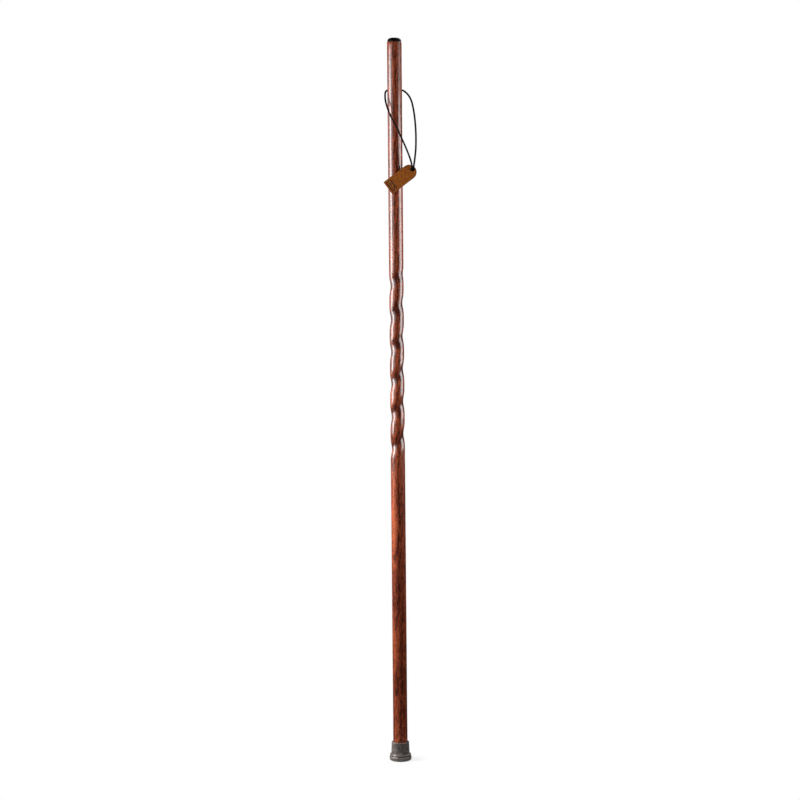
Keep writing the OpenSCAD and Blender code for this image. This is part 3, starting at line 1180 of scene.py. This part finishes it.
@dataclass
class Tag:
    """The leather tag on the cord. Sizes in metres, angles in degrees.

    It is modelled flat, with the cord's hole at zero, the round end towards +X and the grain side up.
    """

    hole: Vector = joint_place("tag_swing")
    length: float = 65 * MM
    width: float = 28.4 * MM
    thickness: float = 2.5 * MM
    round_steps: int = 20
    corner: float = 1.5 * MM
    corner_steps: int = 5
    hole_edge: float = 5.8 * MM
    hole_radius: float = 3.6 * MM
    hole_sides: int = 48
    punch_length: float = 10 * MM
    slope: float = 36.5
    # Edges that are sharper than this angle are rounded
    edge_angle: float = 50.0
    edge_round: float = 0.45 * MM
    edge_steps: int = 3
    smooth_angle: float = 40.0
    # The leather curls up towards its square end, in strips of this width
    curl: float = 0.9 * MM
    strip: float = 2.6 * MM
    # Tooling near the square end: two plain lines with a row of dots between them
    line_places: tuple[float, ...] = (4.5 * MM, 13.5 * MM)
    line_length: float = 21 * MM
    line_width: float = 1.4 * MM
    dot_place: float = 9 * MM
    dot_count: int = 5
    dot_gap: float = 4.6 * MM
    dot_radius: float = 2.2 * MM
    tool_sides: int = 24
    tool_rings: int = 16
    tool_depth: float = 0.55 * MM
    # Leather pressed in by more than this share of the depth is darkened
    tool_dark_share: float = 0.1
    grain: TannedLeather = TannedLeather()
    flesh: TannedLeather = TannedLeather(
        name="tan_leather_flesh", colour="#9A7448", dark_colour="#77542F", pebble=0.6 * MM, cloud=5 * MM,
        relief=0.15 * MM, roughness=0.85)
    burnished: TannedLeather = TannedLeather(
        name="tan_leather_burnished", colour="#4A1E0A", dark_colour="#2E1004", pebble=1.2 * MM,
        cloud=5 * MM, relief=0.04 * MM, roughness=0.4)

    def build(self) -> Object:
        """Builds and dresses the tag.

        Returns:
            The tag, which the cord carries.
        """
        tag = self.cut_blank()
        cut(tag, self.tooling())
        self.dye(tag)
        self.hang(tag)
        hand_over(tag, "tag", "tan_leather", "leather_tag")
        return tag

    @property
    def square_x(self) -> float:
        """Gives the place of the tag's square end."""
        return self.hole_edge - self.length

    def cut_blank(self) -> Object:
        """Models the blank: cut out, punched and rounded at its edges.

        Returns:
            The blank, lying flat.
        """
        tag = start_from(bpy.ops.mesh.primitive_plane_add, "tag_leather", size=1)
        with editing(tag):
            bpy.ops.transform.resize(value=(self.length, self.width, 1))
            bpy.ops.transform.translate(value=(self.square_x + self.length / 2, 0, 0))
            select(Pick.VERTS, lambda place, way: place.x > 0)
            bpy.ops.mesh.bevel(offset=self.width / 2, segments=self.round_steps, affect="VERTICES")
            select(Pick.VERTS, lambda place, way: place.x < self.square_x + MERGE)
            bpy.ops.mesh.bevel(offset=self.corner, segments=self.corner_steps, affect="VERTICES")
            bpy.ops.mesh.select_all(action="SELECT")
            bpy.ops.mesh.remove_doubles(threshold=MERGE)
            bpy.ops.mesh.extrude_region_move(TRANSFORM_OT_translate={"value": (0, 0, self.thickness)})
            face_outwards()
        cut(tag, start_from(bpy.ops.mesh.primitive_cylinder_add, "punch", vertices=self.hole_sides,
                            radius=self.hole_radius, depth=self.punch_length))
        modify(tag, "BEVEL", width=self.edge_round, segments=self.edge_steps, limit_method="ANGLE",
               angle_limit=math.radians(self.edge_angle))
        return tag

    def tooling(self) -> Object:
        """Models what the leather tools press in.

        Returns:
            All the marks as one cutter.
        """
        marks = []
        for place in self.line_places:
            height = self.thickness + self.line_width - self.tool_depth
            marks.append(start_from(
                bpy.ops.mesh.primitive_cylinder_add, "tool_line", vertices=self.tool_sides,
                radius=self.line_width, depth=self.line_length, rotation=(math.pi / 2, 0, 0),
                location=(self.square_x + place, 0, height)))
        for i in range(self.dot_count):
            across = (i - (self.dot_count - 1) / 2) * self.dot_gap
            height = self.thickness + self.dot_radius - self.tool_depth
            marks.append(start_from(
                bpy.ops.mesh.primitive_uv_sphere_add, "tool_dot", segments=self.tool_sides,
                ring_count=self.tool_rings, radius=self.dot_radius,
                location=(self.square_x + self.dot_place, across, height)))
        return joined(marks)

    def dye(self, tag: Object) -> None:
        """Gives the tag's grain side, its flesh side and its edges and tooling their materials.

        Args:
            tag: The tooled blank.
        """
        dress(tag, self.grain.material(), self.flesh.material(), self.burnished.material())
        pressed = self.thickness - self.tool_dark_share * self.tool_depth
        with editing(tag):
            self.paint(LeatherSide.FLESH, lambda place, way: way.z < -UPRIGHT)
            self.paint(LeatherSide.BURNISHED, lambda place, way: (
                abs(way.z) <= UPRIGHT or (way.z > UPRIGHT and place.z < pressed)))

    def paint(self, side: LeatherSide, test: Test) -> None:
        """Gives the faces of one side, in the mesh in edit mode, their material.

        Args:
            side: The side.
            test: Says by its middle and its normal whether a face belongs to it.
        """
        select(Pick.FACES, test)
        bpy.context.edit_object.active_material_index = side.value
        bpy.ops.object.material_slot_assign()

    def hang(self, tag: Object) -> None:
        """Curls the tag a little and puts it in its place on the cord.

        Args:
            tag: The dyed tag, lying flat.
        """
        with editing(tag):
            for i in range(1, round(self.length / self.strip)):
                bpy.ops.mesh.select_all(action="SELECT")
                bpy.ops.mesh.bisect(plane_co=(self.square_x + i * self.strip, 0, 0), plane_no=(1, 0, 0))
        curl = weigh(tag, "curl", lambda place: min(1.0, max(0.0, place.x / self.square_x)) ** 2)
        modify(tag, "DISPLACE", direction="Z", strength=self.curl, mid_level=0.0, vertex_group=curl)
        back = Vector((self.hole.x, self.hole.y + self.thickness / 2, self.hole.z))
        turn = Matrix.Rotation(math.radians(-self.slope), 4, "Y") @ Matrix.Rotation(math.pi / 2, 4, "X")
        place_at(tag, Matrix.Translation(back) @ turn)
        smooth(tag, self.smooth_angle)


@dataclass(frozen=True)
class Softbox:
    """One soft lamp that faces the staff. Sizes in metres, its azimuth in degrees to the camera's right."""

    name: str
    azimuth: float
    distance: float
    height: float
    aim_height: float
    width: float
    tall: float
    radiance: float
    # The angle that a grid leaves open, in degrees
    spread: float = 180.0

    def hang(self) -> None:
        """Adds the lamp, out of the camera's sight."""
        turn = math.radians(self.azimuth)
        place = Vector((self.distance * math.sin(turn), -self.distance * math.cos(turn), self.height))
        way = Vector((0, 0, self.aim_height)) - place
        bpy.ops.object.select_all(action="DESELECT")
        aim = way.to_track_quat("-Z", "Y").to_euler()
        bpy.ops.object.light_add(type="AREA", location=place, rotation=aim)
        lamp = bpy.context.active_object
        lamp.name = self.name
        lamp.visible_camera = False
        lamp.data.shape = "RECTANGLE"
        lamp.data.size = self.width
        lamp.data.size_y = self.tall
        lamp.data.spread = math.radians(self.spread)
        lamp.data.energy = self.radiance * math.pi * self.width * self.tall


@dataclass
class Studio:
    """Camera, lamps, surroundings and floor. Sizes in metres, angles in degrees."""

    distance: float = 3.5
    eye_height: float = 0.982
    eye_side: float = 0.005
    tilt: float = 4.5
    roll: float = -0.5
    # Focal length in pixels of the photograph, whose frame is this many pixels wide
    focal_px: float = 1818.9
    frame_px: int = 800
    sensor_mm: float = 36.0
    floor_radius: float = 0.13
    floor_sides: int = 96
    # How far towards the back, from 0 to 1, a mirrored ray must point to see the white backdrop
    backdrop_from: float = 0.92
    backdrop_to: float = 1.0
    white: str = "#FFFFFF"
    ambient: float = 0.01
    lamps: tuple[Softbox, ...] = (
        Softbox("left_softbox", azimuth=-78, distance=1.2, height=1.0, aim_height=1.0, width=0.52, tall=1.0,
                radiance=18.5),
        Softbox("left_wing", azimuth=-106, distance=1.2, height=1.0, aim_height=1.0, width=0.55, tall=1.0,
                radiance=3.0),
        Softbox("left_inner", azimuth=-50, distance=1.2, height=1.1, aim_height=1.1, width=0.7, tall=1.0,
                radiance=2.6),
        Softbox("right_softbox", azimuth=78, distance=0.8, height=0.97, aim_height=1.0, width=0.6,
                tall=0.75, radiance=8.5),
        Softbox("right_upper", azimuth=84, distance=0.8, height=1.56, aim_height=1.56, width=0.7, tall=0.4,
                radiance=1.5),
        Softbox("left_low", azimuth=-90, distance=1.0, height=1.5, aim_height=0.05, width=0.4, tall=0.4,
                radiance=6.0, spread=46),
        Softbox("front_fill", azimuth=-10, distance=3.6, height=2.3, aim_height=0.6, width=0.6, tall=0.8,
                radiance=0.5),
        Softbox("back_top", azimuth=150, distance=1.3, height=2.3, aim_height=0.2, width=0.7, tall=0.7,
                radiance=12.0),
    )

    def build(self) -> None:
        """Sets the camera, lights the scene and lays the floor."""
        self.set_camera()
        for lamp in self.lamps:
            lamp.hang()
        self.light_world()
        self.lay_floor()
        bpy.context.scene.view_settings.view_transform = "Standard"

    def set_camera(self) -> None:
        """Puts the camera where the photograph was taken from."""
        bpy.ops.object.select_all(action="DESELECT")
        bpy.ops.object.camera_add()
        camera = bpy.context.active_object
        camera.data.sensor_width = self.sensor_mm
        camera.data.lens = self.focal_px / self.frame_px * self.sensor_mm
        aim = Matrix.Rotation(math.radians(90 - self.tilt), 4, "X")
        lean = Matrix.Rotation(math.radians(self.roll), 4, "Z")
        eye = Matrix.Translation((self.eye_side, -self.distance, self.eye_height))
        camera.matrix_world = eye @ aim @ lean
        bpy.context.scene.camera = camera

    def light_world(self) -> None:
        """Makes the surroundings white to the camera, white behind the staff to gloss, else dim."""
        world = bpy.data.worlds.new("studio")
        world.use_nodes = True
        tree = world.node_tree
        tree.nodes.clear()
        path = add(tree, "LightPath")
        back = add(tree, "SeparateXYZ", {0: add(tree, "TexCoord")["Generated"]})["Y"]
        behind = add(tree, "MapRange", {"Value": back, "From Min": self.backdrop_from,
                                        "From Max": self.backdrop_to}, interpolation_type="SMOOTHSTEP")[0]
        bounced = add(tree, "Math", {0: path["Is Glossy Ray"], 1: path["Is Transmission Ray"]},
                      operation="MAXIMUM")[0]
        mirrored = add(tree, "Math", {0: bounced, 1: behind}, operation="MULTIPLY")[0]
        seen = add(tree, "Math", {0: path["Is Camera Ray"], 1: mirrored}, operation="MAXIMUM")[0]
        level = add(tree, "MapRange", {"Value": seen, "To Min": self.ambient})[0]
        sky = add(tree, "Background", {"Color": linear(self.white), "Strength": level})[0]
        add(tree, "OutputWorld", {"Surface": sky})
        bpy.context.scene.world = world

    def lay_floor(self) -> None:
        """Lays the pale floor, which takes the staff's shadow."""
        floor = start_from(bpy.ops.mesh.primitive_circle_add, "floor", vertices=self.floor_sides,
                           radius=self.floor_radius, fill_type="NGON")
        dress(floor, ThinPaint().material())


def main() -> None:
    """Builds the studio and each sub-assembly in order."""
    logging.basicConfig(level=logging.INFO, format="%(name)s: %(message)s")
    Studio().build()
    tag = Tag().build()
    Lanyard().build(tag)
    Staff().build()
    Tip().build()


if __name__ == "__main__":
    main()
